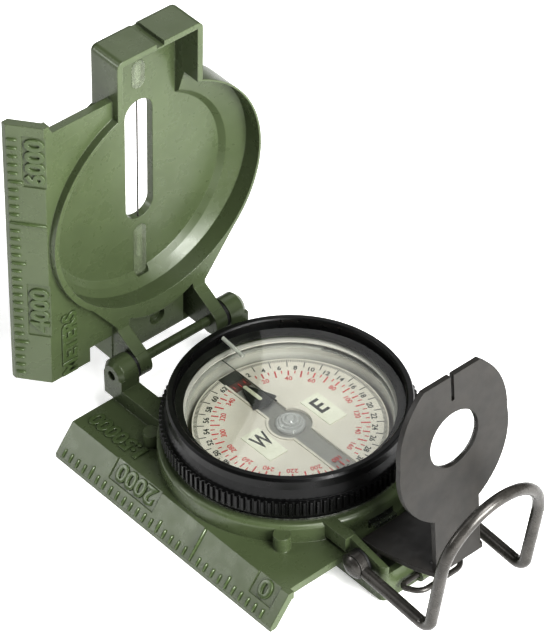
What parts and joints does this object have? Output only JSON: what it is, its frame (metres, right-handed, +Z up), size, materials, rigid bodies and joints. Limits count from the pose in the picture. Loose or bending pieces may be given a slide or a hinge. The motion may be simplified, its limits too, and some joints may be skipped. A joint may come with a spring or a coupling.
{
  "type": "sighting compass",
  "caption": "Folding lensatic sighting compass with rotating bezel, floating dial, slotted cover with straightedge, lens eyepiece and wire thumb loop.",
  "frame": {"origin": "dial axis, at the flat underside of the case", "axes": "+Y along the sighting direction towards the cover's hinge, +X to the user's right with the straightedge on -X, +Z up out of the dial"},
  "size_m": [0.0566, 0.104, 0.0839],
  "materials": {
    "green_paint": "semi-gloss olive green enamel on die-cast aluminium",
    "black_anodised": "satin black anodised, knurled grip",
    "spring_steel": "bright spring steel",
    "polished_steel": "bright satin steel",
    "magnet_steel": "satin grey bar magnet",
    "clear_glass": "clear, polished",
    "clear_plastic": "clear acrylic",
    "clear_resin": "clear potting resin",
    "light_tube": "phosphor-lined sealed glass tube",
    "jewel": "polished synthetic ruby",
    "copper_cup": "spun copper, bare",
    "brass_hub": "turned brass",
    "white_plastic": "matt white",
    "white_ring": "smooth white",
    "black_rubber": "smooth nitrile",
    "dial_plastic": "pearl white translucent card, printed",
    "luminous_paint": "pale luminous paint",
    "black_paint": "satin black paint",
    "black_wire": "black oxide, satin",
    "black_washer": "black nylon"
  },
  "bodies": {
    "case": {"base_case": "green_paint", "damping_cup": "copper_cup", "dial_well_liner": "white_plastic", "dial_pivot": "polished_steel", "crystal_gasket": "white_ring", "index_crystal": "clear_glass", "crystal_retainer": "white_ring", "bezel_click_spring": "spring_steel", "bezel_retaining_wire": "spring_steel", "hinge_pin": "green_paint", "hinge_washers": "black_washer", "pivot_rivets": "black_wire", "pivot_washers": "black_washer", "lever_pin": "polished_steel"},
    "cover": {"cover_case": "green_paint", "sighting_wire": "black_wire", "upper_vial": "light_tube", "lower_vial": "light_tube", "upper_vial_bed": "clear_resin", "lower_vial_bed": "clear_resin"},
    "bezel": {"bezel_ring": "black_anodised", "bezel_glass_gasket": "black_rubber", "bezel_glass": "clear_glass", "bezel_line_vial": "light_tube"},
    "dial": {"dial_disc": "dial_plastic", "dial_magnet": "magnet_steel", "dial_hub": "brass_hub", "jewel_bearing": "jewel", "jewel_cap": "clear_plastic", "north_arrow": "black_paint", "north_arrow_bridge": "clear_plastic", "east_patch": "luminous_paint", "west_patch": "luminous_paint"},
    "eyepiece": {"eyepiece_bracket": "black_paint", "eyepiece_lens": "clear_glass"},
    "loop": {"thumb_loop": "black_wire"},
    "lock_lever": {"dial_lock_lever": "polished_steel"},
    "bail": {"lanyard_bail": "black_wire"}
  },
  "joints": [
    {"name": "cover_hinge", "type": "hinge", "parent": "case", "child": "cover", "pos_m": [0, 0.0341, 0.0125], "axis": [-1, 0, 0], "range_deg": [-88, 92]},
    {"name": "bezel_turn", "type": "hinge", "parent": "case", "child": "bezel", "pos_m": [0, 0, 0.014], "axis": [0, 0, 1], "continuous": true},
    {"name": "dial_turn", "type": "hinge", "parent": "case", "child": "dial", "pos_m": [0, 0, 0.013], "axis": [0, 0, 1], "continuous": true},
    {"name": "eyepiece_fold", "type": "hinge", "parent": "case", "child": "eyepiece", "pos_m": [0, -0.0318, 0.007], "axis": [-1, 0, 0], "range_deg": [-5, 85.14]},
    {"name": "thumb_loop_fold", "type": "hinge", "parent": "case", "child": "loop", "pos_m": [0, -0.0318, 0.007], "axis": [-1, 0, 0], "range_deg": [-6, 99]},
    {"name": "lock_lever_rock", "type": "hinge", "parent": "case", "child": "lock_lever", "pos_m": [0, -0.02355, 0.0069], "axis": [1, 0, 0], "range_deg": [-0.3, 3.6]},
    {"name": "bail_swing", "type": "hinge", "parent": "case", "child": "bail", "pos_m": [0, -0.0386, 0.0032], "axis": [1, 0, 0], "range_deg": [-80, 85]}
  ],
  "couplings": [
    {"joint": "thumb_loop_fold", "follows": "eyepiece_fold", "ratio": 1.16},
    {"joint": "lock_lever_rock", "follows": "eyepiece_fold", "ratio": 0.041}
  ]
}
